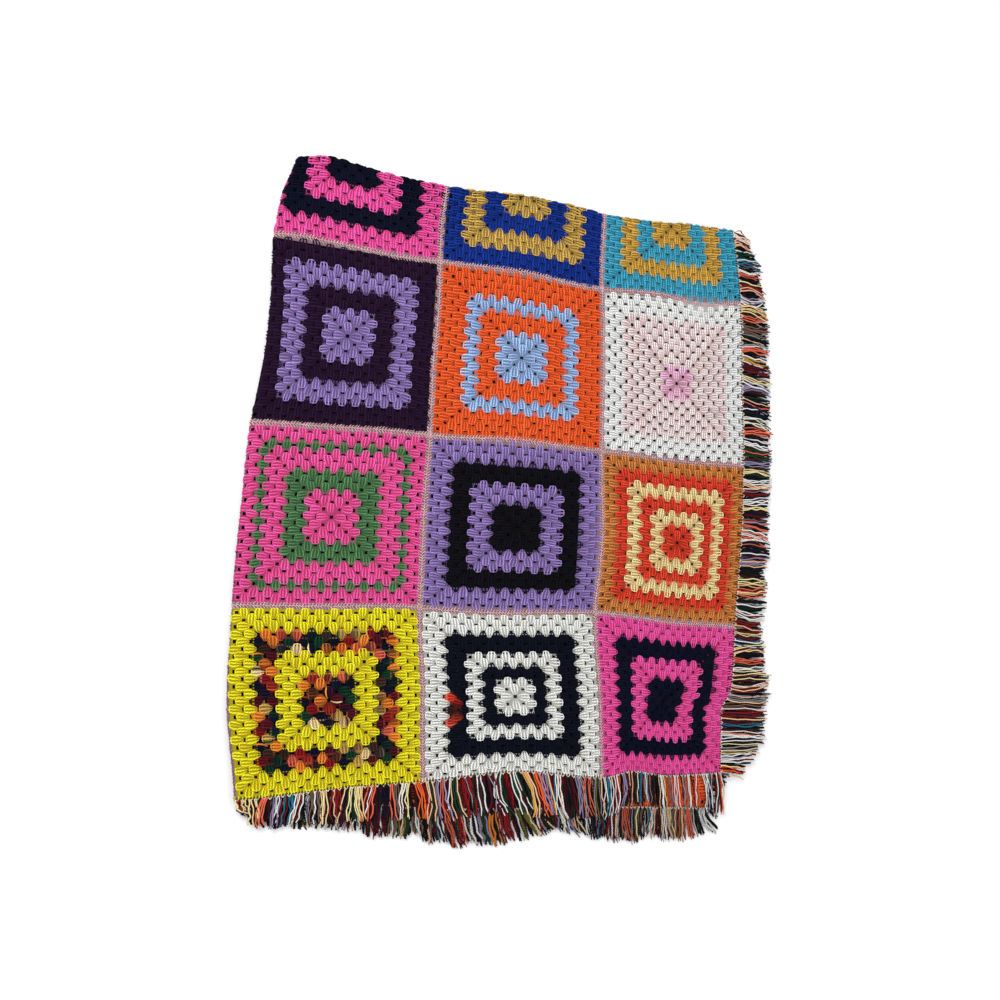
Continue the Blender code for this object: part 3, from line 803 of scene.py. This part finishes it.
# The main yarn of each bundle where the fringe shows, in the order in which the edge is worked.
NEAR_YARNS = (
    "cream cream coral grey_lilac teal white taupe cream dark_red navy cream coral navy taupe cream orange "
    "dark_green coral white dark_red teal maroon dark_green cream mustard orange grey_lilac white maroon "
    "grey coral olive teal white white umber teal grey black white taupe pale_pink navy white coral white "
    "grey orange"
).split()
RIGHT_YARNS = (
    "orange white grey off_white white maroon dark_red taupe grey white maroon white coral cream teal maroon "
    "dark_red off_white black coral cream black grey_lilac navy coral coral coral navy white dark_red peach "
    "cream grey_lilac dark_green white coral teal navy coral grey_lilac cream maroon mustard coral black "
    "taupe coral cream grey_lilac dark_red black coral"
).split()
FAR_YARNS = (
    "white black coral olive taupe cream white peach teal taupe olive coral maroon dark_red maroon black "
    "white grey_lilac grey_lilac white dark_red white olive coral dark_red amber white taupe dark_red coral "
    "teal black taupe olive taupe maroon dark_red"
).split()
FRINGE_YARNS = (
    "cream white dark_red navy teal grey_lilac dark_green grey maroon taupe coral off_white black olive "
    "peach"
).split()
PALE_YARNS = "off_white cream white grey_lilac peach".split()
DARK_YARNS = "black maroon navy dark_green black dark_red umber".split()
BUNDLE_YARNS = (FRINGE_YARNS, FRINGE_YARNS, PALE_YARNS, DARK_YARNS)
YARN_SHARES = (0.5, 0.12, 0.23, 0.15)  # of a bundle's main yarn and of its three others
CRIMPED = ("teal", "grey")

# How far tips lean up or to the right in the fringe: place along the edge, lean.
END_LEANS = ((-843, 0), (0, -3), (200, 0), (350, 14), (500, 14), (560, 5), (690, 4))
NEAR_LEANS = metres(*END_LEANS, (780, 6), (843, -12))
FAR_LEANS = metres(*END_LEANS, (780, 8), (843, 14))
RIGHT_LEANS = metres((-980, 10), (-900, 0), (980, 0))
NO_LEANS = metres((-1000, 0), (1000, 0))
FOLD_LEAN = 12 * MM  # strands beside a fold turn their tips away from it
FOLD_LEAN_REACH = 70 * MM
CORNER_LEAN = 16 * MM  # and beside a corner, towards it
CORNER_LEAN_REACH = 60 * MM
OWN_LEAN = 4.5 * MM
OWN_BEND = 3.5 * MM

BUNDLES_A_SQUARE = 16
BUNDLE_WIDTH = 13  # in millimetres at the knot, and how much it gains to the tips
BUNDLE_SPREAD = 6
BUNDLE_SCATTER = 1.2 * MM
LENGTH_SCATTER = 2 * MM
THIN_FRINGE = (700 * MM, 800 * MM)  # where the layer below shows through the near fringe
STRANDS = 9
DARK_STRANDS = 4  # the first of each bundle: dark yarns, broader and behind the others, which with painted shade fill in as the shadow among the strands
KNOT_DEPTH = 1.5 * MM  # how far inside the edge strands start
FRINGE_RINGS = 7
FRINGE_RADIUS = 1.5 * MM
DARK_RADIUS = 2.6 * MM
DARK_DROP = 0.8 * MM
DARK_SHORTER = 2 * MM
FRINGE_FLAT = 0.7
TIP_TAPER = 0.3
STRAND_SCATTER = 2.5 * MM  # of a strand's length, and of its tip to the side
SWAY = 1.8 * MM
WAVES = (1.2, 2.4)  # along a strand, and how far aside they go in millimetres
WAVE_REACH = (1.0, 2.6)
CRIMP = 1 * MM
STRAND_LIFTS = (-0.4, 1.2)  # in millimetres, with an arch along the strand
ARCH = 0.9 * MM
DARK_ARCH = 0.2 * MM
ARCH_TURNS = (0.6, 1.4)
THICKNESSES = (0.85, 1.2)
LOWEST_DROP = 0.5 * MM  # strands on the lowest layer lie this much deeper, up to a limit
LOWEST_LIMIT = 1.2 * MM
INNER_LIMIT = 0.9 * MM
TOP_FULLER = 1.5
TOP_LIFT = 0.6 * MM
# Painted shade on the dark strands behind the others.
UNDER_STRAND_PAINTED_SHADE = 0.5
FRINGE_SPREAD = 0.12  # unevenness of the strands' lightness

# Lengths, main yarns, the first bundle that has them and leans of each fringe.
FRINGES = {
    "right": (RIGHT_FRINGE, RIGHT_YARNS, 0, RIGHT_LEANS),
    "left": (LEFT_FRINGE, (), 0, NO_LEANS),
    "near": (NEAR_FRINGE, NEAR_YARNS, COLUMNS // 2 * BUNDLES_A_SQUARE, NEAR_LEANS),
    "far": (FAR_FRINGE, FAR_YARNS, 0, FAR_LEANS),
}


def fringe_bundles(yarns, edge):
    """Bundles of loose strands along one edge of the flat blanket."""
    start, way, squares = EDGES[edge]
    lengths, main_yarns, first, leans = FRINGES[edge]
    outward = (way[1], -way[0])
    corner = len(squares) * SQUARE / 2
    t = np.linspace(0, 1, FRINGE_RINGS)
    paths, radii, colours = [], [], []
    for bundle in range(len(squares) * BUNDLES_A_SQUARE):
        at = (bundle + 0.5) * (SQUARE / BUNDLES_A_SQUARE) + DICE.normal(0, BUNDLE_SCATTER)
        spot = (start + at * np.array(way)) @ np.abs(way)
        names = [DICE.choice(yarn_list) for yarn_list in BUNDLE_YARNS]
        if 0 <= bundle - first < len(main_yarns):
            names[0] = main_yarns[bundle - first]
        to_fold = max(0, 1 - abs(spot) / FOLD_LEAN_REACH)
        to_corner = max(0, 1 - (corner - abs(spot)) / CORNER_LEAN_REACH)
        lean = math.copysign(FOLD_LEAN * to_fold + CORNER_LEAN * to_corner, spot)
        lean = (lean + along_table(leans, spot)) * sum(way)
        own_lean = DICE.normal(0, OWN_LEAN)
        bend = DICE.normal(0, OWN_BEND)
        reach = along_table(lengths, spot) + DICE.normal(0, LENGTH_SCATTER)
        thin = THIN_FRINGE[0] < spot < THIN_FRINGE[1] and edge == "near"
        for strand in range(STRANDS):
            dark = strand < DARK_STRANDS
            if thin and (dark or strand % 3 == 1):
                continue
            order = (strand + 0.5) / DARK_STRANDS
            if not dark:
                order = (strand - DARK_STRANDS + 0.5) / (STRANDS - DARK_STRANDS)
            name = DICE.choice(DARK_YARNS) if dark else names[DICE.choice(4, p=YARN_SHARES)]
            length = reach + DICE.normal(-DARK_SHORTER if dark else 0, STRAND_SCATTER)
            side = (order - 0.5) * (BUNDLE_WIDTH + BUNDLE_SPREAD * t) * MM + lean * t ** 1.5
            side += DICE.normal(0, SWAY) * t
            if not dark:
                side += own_lean * t ** 1.5 + bend * np.sin(math.pi * t)
            turns = DICE.uniform(*WAVES)
            wave = (WAVE_REACH[0] if dark else DICE.uniform(*WAVE_REACH)) * MM
            side += wave * t ** 0.5 * np.sin(2 * math.pi * (turns * t + DICE.random()))
            if name in CRIMPED and not dark:
                side += CRIMP * np.sin(2 * math.pi * 3 * t + 3 * strand) * t
            if dark:
                lift = -DARK_DROP + DARK_ARCH * np.sin(math.pi * t)
            else:
                lift = DICE.uniform(*STRAND_LIFTS) * MM
                lift = lift + ARCH * np.sin(math.pi * t * DICE.uniform(*ARCH_TURNS))
            flat = start + np.outer(at + side, way) + np.outer(length * t - KNOT_DEPTH, outward)
            paths.append(with_lift(flat, lift))
            radius = DARK_RADIUS if dark else FRINGE_RADIUS * DICE.uniform(*THICKNESSES)
            radii.append(radius * (1 - TIP_TAPER * (t > 0.99)))
            shade = (UNDER_STRAND_PAINTED_SHADE if dark else 1.0) + FRINGE_SPREAD * DICE.standard_normal()
            colours.append(YARN[name] * shade)
    paths = np.array(paths)
    # The lowest layer's right side faces the floor, so its strands keep to the inner side.
    across, along = layer_of(paths)
    lowest = (across < 0) & (along < 0)
    top = (across > 0) & (along < 0)
    turned = (across > 0) & (along > 0)
    lift = np.where(turned, -1, 1) * paths[..., 2]
    lift = np.where(lowest, np.minimum(lift - LOWEST_DROP, 0), lift)
    lift = np.where(top, lift * TOP_FULLER + TOP_LIFT, np.clip(lift, -INNER_LIMIT, INNER_LIMIT))
    paths[..., 2] = np.where(lowest, np.clip(lift, -LOWEST_LIMIT, 0), lift)
    yarns.add(paths, np.array(radii), np.array(colours), FRINGE_FLAT)


# ---- the cloth behind the stitches

GROUND = 1.2 * MM  # thickness of the sheet in the middle of the stitches
TOP_SHADE = 0.36  # painted shade on it: its lightness behind the upper stitches, and in the lower layers
LOWER_SHADE = 0.03
JOIN_SHADE = 0.3  # and behind the joins
EDGE_SHADE = 0.3  # and, times that, in the band along the blanket's edges
EDGE_BAND = 6 * MM
SLIT_ACROSS = 5.4 * MM  # a gap between clusters in the sheet behind them
SLIT_OUT = 3.8 * MM
CORNER_GAP = 5.2 * MM
EDGE_PIECES = 8  # straight pieces along a square's edge
LEFT_STEPS = 12  # creases round the left fold, and round the top one
TOP_STEPS = 8
MERGE = 0.01 * MM


def square_gaps(size):
    """A square's gaps: middle (2), way across (2), way out (2), half size across and out.

    With no size for the gaps between clusters, there are only the largest of each square.
    """
    gaps = []
    corner = (CORNER_GAP / 2, CORNER_GAP / 2)
    for out, across in QUARTERS:
        for n in range(1, ROUNDS + 1):
            radius = FIRST_ROUND + n * ROUND
            if size or n == ROUNDS:
                gaps.append((*(radius * (out + across)), *across, *out, *corner))
            for k in range(n - 1 if size else 0):
                middle = radius * (out + across * (2 * k + 2 - n) / n)
                gaps.append((*middle, *across, *out, size * SLIT_ACROSS / 2, size * SLIT_OUT / 2))
    gaps.append((0, 0, 0, 1, 1, 0, *corner))
    return np.array(gaps)


def ring_of(places, reach):
    """A square outline at reach from the middle, with points at places along each side."""
    half = [(s, -reach) for s in places] + [(reach, s) for s in places]
    return half + [(-x, -y) for x, y in half]


def square_sheet(size, dyed):
    """A flat square with its gaps cut: points, triangles, their rounds and nearest clusters.

    Where a yarn is dyed the rounds' borders are divided, as its colour changes along them.
    """
    half = SQUARE / 2
    borders = FIRST_ROUND + (np.arange(1, ROUNDS + 1) + 0.5) * ROUND
    borders[-1] = half - JOIN_HALF
    loops = [ring_of(np.linspace(-half, half, EDGE_PIECES + 1)[:-1], half)]
    for n, reach in enumerate(borders):
        loops.append(ring_of(np.linspace(-reach, reach, n + 2 if dyed else 2)[:-1], reach))
    gaps = square_gaps(size)
    gap_corners = [
        gaps[:, 0:2] + a * gaps[:, 6:7] * gaps[:, 2:4] + b * gaps[:, 7:8] * gaps[:, 4:6]
        for a, b in ((-1, -1), (1, -1), (1, 1), (-1, 1))
    ]
    loops += np.stack(gap_corners, 1).tolist()
    points, edges = [], []
    for loop in loops:
        first = len(points)
        points += loop
        edges += [(first + k, first + (k + 1) % len(loop)) for k in range(len(loop))]
    flat, _, triangles, *_ = delaunay_2d_cdt([Vector(p) for p in points], edges, [], 0, MERGE)
    flat = np.array([tuple(p) for p in flat])
    triangles = np.array(triangles)
    middles = flat[triangles].mean(1)
    from_gaps = middles[:, None] - gaps[None, :, 0:2]
    in_gap = ((np.abs((from_gaps * gaps[:, 2:4]).sum(2)) < gaps[:, 6])
              & (np.abs((from_gaps * gaps[:, 4:6]).sum(2)) < gaps[:, 7])).any(1)
    rounds = np.searchsorted(borders, np.abs(middles).max(1))
    middles, triangles, rounds = middles[~in_gap], triangles[~in_gap], rounds[~in_gap]
    distances = np.linalg.norm(middles[:, None] - SQUARE_CLUSTERS[None, :, 0:2], axis=2)
    distances += SQUARE * (rounds[:, None] + 1 != SQUARE_CLUSTERS[None, :, 6])
    return flat, triangles, rounds, distances.argmin(1)


def creased(points, triangles):
    """Cut a laid-out sheet along its bends: gives points, triangles and the triangles they were."""
    sheet = bmesh.new()
    came_from = sheet.faces.layers.int.new("came_from")
    verts = [sheet.verts.new((x, y, 0)) for x, y in points]
    for k, corners in enumerate(triangles):
        sheet.faces.new([verts[i] for i in corners])[came_from] = k
    for reach, steps, axis in ((LEFT_REACH, LEFT_STEPS, 0), (TOP_REACH, TOP_STEPS, 1)):
        places = [reach * (2 * step / steps - 1) for step in range(steps + 1)]
        for at in places + [-PUFF_REACH, PUFF_REACH]:
            where, way = Vector((0, 0, 0)), Vector((0, 0, 0))
            where[axis], way[axis] = at, 1
            parts = sheet.verts[:] + sheet.edges[:] + sheet.faces[:]
            bmesh.ops.bisect_plane(sheet, geom=parts, dist=MERGE, plane_co=where, plane_no=way)
    bmesh.ops.triangulate(sheet, faces=sheet.faces[:])
    sheet.verts.index_update()
    points = np.array([v.co[:2] for v in sheet.verts])
    triangles = np.array([[v.index for v in face.verts] for face in sheet.faces])
    sources = np.array([face[came_from] for face in sheet.faces])
    sheet.free()
    return points, triangles, sources


def rim_edges(triangles):
    """Directed edges that belong to one triangle only."""
    edges = np.concatenate([triangles[:, [0, 1]], triangles[:, [1, 2]], triangles[:, [2, 0]]])
    count = int(triangles.max()) + 1
    keys = edges[:, 0] * count + edges[:, 1]
    back = edges[:, 1] * count + edges[:, 0]
    return edges[~np.isin(keys, back)]


def ground_square(sheets, column, row):
    """One square of the ground sheet: points, triangles and the triangles' colours, the yarns' in painted
    shade.
    """
    tension = TENSIONS.get((column, row), EVEN_TENSION)
    size = tension[2] if (column, row) in TOP_SQUARES else 0
    dyed = (column, row) == EMBER_SQUARE or "variegated" in square_rounds(column, row)
    if (size, dyed) not in sheets:
        sheets[size, dyed] = square_sheet(size, dyed)
    flat, faces, rounds, nearest = sheets[size, dyed]
    flat = flat + square_middle(column, row)
    middles = flat[faces].mean(1)
    inside = (np.abs(middles) < (HALF_WIDTH - EDGE_BAND, HALF_LENGTH - EDGE_BAND)).all(1)
    border = rounds == ROUNDS
    yarn = np.where((border & inside)[:, None], YARN["mauve"], cluster_colours(column, row)[nearest])
    across, along = layer_of(middles)
    top = (across > 0) & ((along < 0) | second_edge(across, along))
    # Painted shade over the sheet: behind the upper stitches and the joins, much deeper in the lower layers,
    # and deeper again along the blanket's edges.
    shade = np.where(top, np.where(border, JOIN_SHADE, TOP_SHADE), LOWER_SHADE)
    shade = np.where(border & ~inside, shade * EDGE_SHADE, shade)
    return flat, faces, yarn * shade[:, None]


def cloth_ground(material):
    """The closed sheet behind the stitches, through all four layers, with its gaps cut, coloured as the yarns
    in painted shade.
    """
    sheets = {}
    points, triangles, colours = [], [], []
    count = 0
    for row in range(ROWS):
        for column in range(COLUMNS):
            flat, faces, shades = ground_square(sheets, column, row)
            points.append(flat)
            triangles.append(faces + count)
            colours.append(shades)
            count += len(flat)
    points, triangles = np.concatenate(points), np.concatenate(triangles)
    keys = np.round(points / MERGE).astype(int)
    _, first, same = np.unique(keys, axis=0, return_index=True, return_inverse=True)
    laid_out = np.stack(layer_of(points[first]), -1)
    flat, triangles, sources = creased(laid_out, same.ravel()[triangles])
    colours = np.concatenate(colours)[sources]

    rim = rim_edges(triangles)
    n = len(flat)
    upper = folded(flat[:, 0], flat[:, 1], np.full(n, GROUND / 2))
    lower = folded(flat[:, 0], flat[:, 1], np.full(n, -GROUND / 2))
    walls = np.stack([rim[:, 1], rim[:, 0], rim[:, 0] + n, rim[:, 1] + n], -1)
    faces = triangles.tolist() + (triangles[:, ::-1] + n).tolist() + walls.tolist()
    mesh = bpy.data.meshes.new("cloth_ground")
    mesh.from_pydata(np.concatenate([upper, lower]).tolist(), [], faces)
    face_colours = np.repeat(colours, 3, 0)
    # The sheet's walls in deep painted shade.
    wall_colours = np.full((4 * len(walls), 3), colours.mean() * LOWER_SHADE)
    add_colours(mesh, np.concatenate([face_colours, face_colours, wall_colours]), "CORNER")
    return finish_piece("cloth_ground", mesh, material)


# ---- materials

FIBRE_DETAIL = 2
PLY = 9 * MM  # run of yarn in which its plies go round once
RIDGES = 2  # plies seen in that run
PLY_BUMP = 0.6  # height of the plies beside that of the fibres
BUMP_DEPTH = 0.6 * MM


def add_node(tree, kind, *inputs, operation=None, **named_inputs):
    """A shader node's outputs. Its inputs, in order or by name, are constants or other outputs."""
    node = tree.nodes.new("ShaderNode" + kind)
    if operation:
        node.operation = operation
    for key, value in [*enumerate(inputs), *named_inputs.items()]:
        socket = node.inputs[key if isinstance(key, int) else key.replace("_", " ")]
        if isinstance(value, bpy.types.NodeSocket):
            tree.links.new(value, socket)
        else:
            socket.default_value = value
    return node.outputs


def new_material(name, **constants):
    """A material with constants on its shader: gives it, its node tree and the shader's inputs."""
    material = bpy.data.materials.new(name)
    material.use_nodes = True
    inputs = material.node_tree.nodes["Principled BSDF"].inputs
    for key, value in constants.items():
        inputs[key.replace("_", " ")].default_value = value
    return material, material.node_tree, inputs


def fibre_noise(tree, scale, darkest, lightest):
    """Noise like fibres, and the mottling it makes."""
    where = add_node(tree, "TexCoord")["Object"]
    fibres = add_node(tree, "TexNoise", Vector=where, Scale=scale, Detail=FIBRE_DETAIL)["Fac"]
    mottle = add_node(tree, "MapRange", Value=fibres, To_Min=darkest, To_Max=lightest)
    return fibres, mottle["Result"]


def tinted(tree, lightness):
    """The mesh's yarn colours, with their painted light and shade, times lightness."""
    colour = tree.nodes.new("ShaderNodeAttribute")
    colour.attribute_name = "yarn_colour"
    colour = colour.outputs["Color"]
    return add_node(tree, "VectorMath", colour, operation="SCALE", Scale=lightness)["Vector"]


def yarn_material():
    """Matt yarn: its colour from the mesh, with fibre mottling, plied ridges with painted shade in their
    valleys, and a soft sheen.
    """
    material, tree, shader = new_material("crochet_yarn", Roughness=0.9, Specular_IOR_Level=0.04,
                                          Sheen_Weight=0.03, Sheen_Roughness=0.5)
    fibres, mottle = fibre_noise(tree, 700, 0.82, 1.18)
    run = tree.nodes.new("ShaderNodeUVMap")
    run.uv_map = "yarn_run"
    run = add_node(tree, "SeparateXYZ", run.outputs["UV"])
    turns = add_node(tree, "Math", run["X"], 1 / PLY, run["Y"], operation="MULTIPLY_ADD")[0]
    angle = add_node(tree, "Math", turns, RIDGES * 2 * math.pi, operation="MULTIPLY")[0]
    ridge = add_node(tree, "Math", angle, operation="SINE")[0]
    # Painted shade in the valleys between the plies.
    valley_shade = add_node(tree, "MapRange", ridge, From_Min=-1.0, From_Max=0.4, To_Min=0.6, To_Max=1.05)
    lightness = add_node(tree, "Math", mottle, valley_shade["Result"], operation="MULTIPLY")[0]
    tree.links.new(tinted(tree, lightness), shader["Base Color"])
    height = add_node(tree, "Math", ridge, PLY_BUMP, fibres, operation="MULTIPLY_ADD")[0]
    bump = add_node(tree, "Bump", Height=height, Strength=0.5, Distance=BUMP_DEPTH)
    tree.links.new(bump["Normal"], shader["Normal"])
    return material


def ground_material():
    """The inner side of the stitches: the painted shade of the mesh's colours, with fibre mottling."""
    material, tree, shader = new_material("ground_yarn", Roughness=1.0, Specular_IOR_Level=0.1)
    mottle = fibre_noise(tree, 400, 0.7, 1.2)[1]
    tree.links.new(tinted(tree, mottle), shader["Base Color"])
    return material


# ---- stage

CAMERA_PLACE = Vector((-0.512, -0.184, 1.556))
CAMERA_VIEW = Vector((0.2998, 0.0970, -0.9490))
CAMERA_UP = Vector((-0.0595, 0.9948, 0.0828))
LENS = 36.0  # a frame as wide as the lens is long
CLIP_START = 0.05
FLOOR_HALF = 6.0
FLOOR_LEVEL = -0.2 * MM
FLOOR_COLOUR = (0.88, 0.88, 0.88, 1)


def camera():
    """The camera at the photograph's angle."""
    data = bpy.data.cameras.new("camera")
    data.lens = LENS
    data.sensor_width = LENS
    data.clip_start = CLIP_START
    eye = add_object("camera", data)
    view = CAMERA_VIEW.normalized()
    right = view.cross(CAMERA_UP).normalized()
    up = right.cross(view)
    eye.matrix_world = Matrix.Translation(CAMERA_PLACE) @ Matrix((right, up, -view)).transposed().to_4x4()
    bpy.context.scene.camera = eye


def floor():
    """A plain pale floor."""
    mesh = bpy.data.meshes.new("floor")
    corners = [(x * FLOOR_HALF, y * FLOOR_HALF, FLOOR_LEVEL) for x, y in ((-1, -1), (1, -1), (1, 1), (-1, 1))]
    mesh.from_pydata(corners, [], [(0, 1, 2, 3)])
    mesh.materials.append(new_material("pale_floor", Base_Color=FLOOR_COLOUR, Roughness=0.95)[0])
    add_object("floor", mesh)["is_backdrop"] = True


def lamp(name, place, size, watts):
    """A square soft light aimed at the blanket's middle."""
    data = bpy.data.lights.new(name, "AREA")
    data.size = size
    data.energy = watts
    light = add_object(name, data)
    light.location = place
    light.rotation_euler = (-Vector(place)).to_track_quat("-Z", "Y").to_euler()


def lights():
    """Soft studio light from all round, a little stronger from the upper left."""
    world = bpy.data.worlds.new("studio")
    world.use_nodes = True
    background = world.node_tree.nodes["Background"]
    background.inputs["Color"].default_value = (1, 1, 1, 1)
    background.inputs["Strength"].default_value = 0.78
    bpy.context.scene.world = world
    lamp("key", (-1.2, 0.9, 2.2), 1.2, 44)
    lamp("fill", (1.4, -1.2, 2.4), 2.0, 14)
    bpy.context.scene.view_settings.view_transform = "Standard"


# ---- build

def work_pieces(yarn):
    """All pieces of yarn but the fringe: the squares' stitches, the joins and the edging."""
    pieces = []
    under = Yarns()
    for row in range(ROWS):
        fine = Yarns()
        for column in range(COLUMNS):
            crochet_square(fine, under, column, row)
            work_corner_loops(fine, column, row)
        if fine.groups:
            pieces.append(fine.piece(f"stitches_row_{row + 1}", yarn))
    pieces.append(under.piece("stitches_under", yarn))
    for name, work in (("joins", work_joins), ("edging", work_edging)):
        yarns = Yarns()
        work(yarns)
        pieces.append(yarns.piece(name, yarn))
    return pieces


def main():
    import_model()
    cad_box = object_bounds()
    camera()
    floor()
    lights()
    yarn = yarn_material()
    ground = cloth_ground(ground_material())
    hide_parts("cloth")
    pieces = work_pieces(yarn)
    for edge in FRINGES:
        strands = Yarns()
        fringe_bundles(strands, edge)
        piece = strands.piece(f"fringe_{edge}_strands", yarn)
        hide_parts(f"fringe_{edge}")
        pieces.append(piece)
    return cad_box


CAD_BOX = main()
